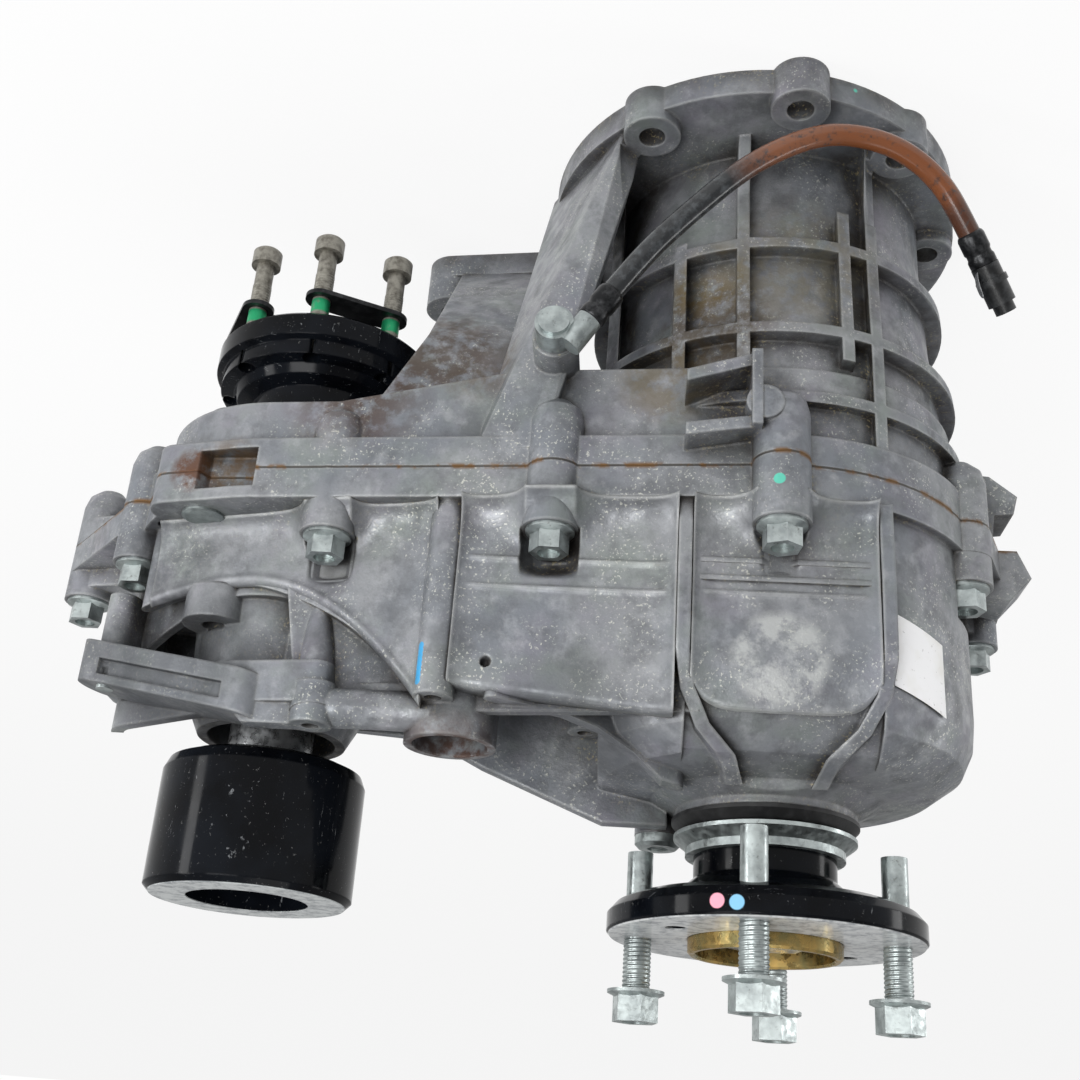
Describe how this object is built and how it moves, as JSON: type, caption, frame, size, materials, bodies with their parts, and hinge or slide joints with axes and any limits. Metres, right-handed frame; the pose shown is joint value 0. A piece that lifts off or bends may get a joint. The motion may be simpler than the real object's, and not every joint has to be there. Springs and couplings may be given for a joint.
{
  "type": "two-speed transfer case",
  "caption": "Two-piece ribbed aluminium transfer case with planetary low range, chain-driven front output flange, rear output flange and vent hose.",
  "frame": {"origin": "centre of the adapter face on the main shaft axis", "axes": "+Z along the main shaft from the adapter face to the rear output; +X from the main shaft to the front output shaft; +Y away from the side with the vent hose"},
  "size_m": [0.4168, 0.2135, 0.3605],
  "materials": {
    "black_paint": "gloss black paint over steel",
    "black_plastic": "black moulded plastic",
    "black_steel": "black oxide steel",
    "cast_aluminium": "weathered grey die-cast aluminium",
    "damper_paint": "gloss black paint",
    "hose_rubber": "black rubber hose with a brown dusting",
    "machined_steel": "machined steel",
    "seal_rubber": "black seal rubber",
    "yellow_zinc": "yellow passivated zinc",
    "zinc_steel": "zinc plated steel"
  },
  "bodies": {
    "case": {"arm_pin": "zinc_steel", "case_bolts": "zinc_steel", "chain": "machined_steel", "core_plug": "zinc_steel", "fill_plug": "zinc_steel", "front_case": "cast_aluminium", "front_output_bearing": "machined_steel", "front_rear_bearing": "machined_steel", "hose_connector": "black_plastic", "input_bearing": "machined_steel", "main_bearing": "machined_steel", "rear_case": "cast_aluminium", "rear_seal": "seal_rubber", "ring_gear": "machined_steel", "shift_rail": "machined_steel", "vent_fitting": "zinc_steel", "vent_hose": "hose_rubber"},
    "input": {"input_shaft": "machined_steel"},
    "carrier": {"planet_carrier": "machined_steel"},
    "rear_output": {"main_shaft": "machined_steel", "rear_flange": "black_paint", "flange_bolts": "zinc_steel", "pilot_ring": "yellow_zinc", "flange_nut": "machined_steel", "dust_deflector": "zinc_steel"},
    "drive_wheel": {"drive_sprocket": "machined_steel"},
    "range_shift_fork": {"range_fork": "machined_steel"},
    "range_clutch_sleeve": {"range_sleeve": "machined_steel"},
    "mode_shift_fork": {"mode_fork": "machined_steel"},
    "mode_clutch_sleeve": {"mode_sleeve": "machined_steel"},
    "front_output": {"front_shaft": "machined_steel", "cv_flange": "black_paint", "cv_bolts": "machined_steel", "cv_straps": "black_steel", "driven_sprocket": "machined_steel", "damper": "damper_paint"},
    "planet_1": {"planet_gear_1": "machined_steel"},
    "planet_2": {"planet_gear_2": "machined_steel"},
    "planet_3": {"planet_gear_3": "machined_steel"},
    "planet_4": {"planet_gear_4": "machined_steel"}
  },
  "joints": [
    {"name": "rear_output_spin", "type": "hinge", "parent": "case", "child": "rear_output", "pos_m": [0, 0, 0.15], "axis": [0, 0, 1], "continuous": true},
    {"name": "input_spin", "type": "hinge", "parent": "case", "child": "input", "pos_m": [0, 0, 0.15], "axis": [0, 0, 1], "continuous": true},
    {"name": "carrier_spin", "type": "hinge", "parent": "case", "child": "carrier", "pos_m": [0, 0, 0.15], "axis": [0, 0, 1], "continuous": true},
    {"name": "planet_1_spin", "type": "hinge", "parent": "carrier", "child": "planet_1", "pos_m": [0.03178, 0.03178, 0.15], "axis": [0, 0, 1], "continuous": true},
    {"name": "planet_2_spin", "type": "hinge", "parent": "carrier", "child": "planet_2", "pos_m": [-0.03178, 0.03178, 0.15], "axis": [0, 0, 1], "continuous": true},
    {"name": "planet_3_spin", "type": "hinge", "parent": "carrier", "child": "planet_3", "pos_m": [-0.03178, -0.03178, 0.15], "axis": [0, 0, 1], "continuous": true},
    {"name": "planet_4_spin", "type": "hinge", "parent": "carrier", "child": "planet_4", "pos_m": [0.03178, -0.03178, 0.15], "axis": [0, 0, 1], "continuous": true},
    {"name": "drive_wheel_spin", "type": "hinge", "parent": "case", "child": "drive_wheel", "pos_m": [0, 0, 0.15], "axis": [0, 0, 1], "continuous": true},
    {"name": "front_output_spin", "type": "hinge", "parent": "case", "child": "front_output", "pos_m": [0.2, 0, 0.15], "axis": [0, 0, 1], "continuous": true},
    {"name": "range_fork_slide", "type": "slide", "parent": "case", "child": "range_shift_fork", "axis": [0, 0, 1], "range_m": [-0.005, 0.008]},
    {"name": "range_sleeve_slide", "type": "slide", "parent": "rear_output", "child": "range_clutch_sleeve", "axis": [0, 0, 1], "range_m": [-0.005, 0.008]},
    {"name": "mode_fork_slide", "type": "slide", "parent": "case", "child": "mode_shift_fork", "axis": [0, 0, 1], "range_m": [-0.008, 0]},
    {"name": "mode_sleeve_slide", "type": "slide", "parent": "rear_output", "child": "mode_clutch_sleeve", "axis": [0, 0, 1], "range_m": [-0.008, 0]}
  ],
  "couplings": [
    {"joint": "input_spin", "follows": "rear_output_spin", "ratio": 1},
    {"joint": "carrier_spin", "follows": "rear_output_spin", "ratio": 0.37931},
    {"joint": "planet_1_spin", "follows": "rear_output_spin", "ratio": -1.9507},
    {"joint": "planet_2_spin", "follows": "rear_output_spin", "ratio": -1.9507},
    {"joint": "planet_3_spin", "follows": "rear_output_spin", "ratio": -1.9507},
    {"joint": "planet_4_spin", "follows": "rear_output_spin", "ratio": -1.9507},
    {"joint": "drive_wheel_spin", "follows": "rear_output_spin", "ratio": 1},
    {"joint": "front_output_spin", "follows": "rear_output_spin", "ratio": 1},
    {"joint": "range_sleeve_slide", "follows": "range_fork_slide", "ratio": 1},
    {"joint": "mode_sleeve_slide", "follows": "mode_fork_slide", "ratio": 1}
  ]
}
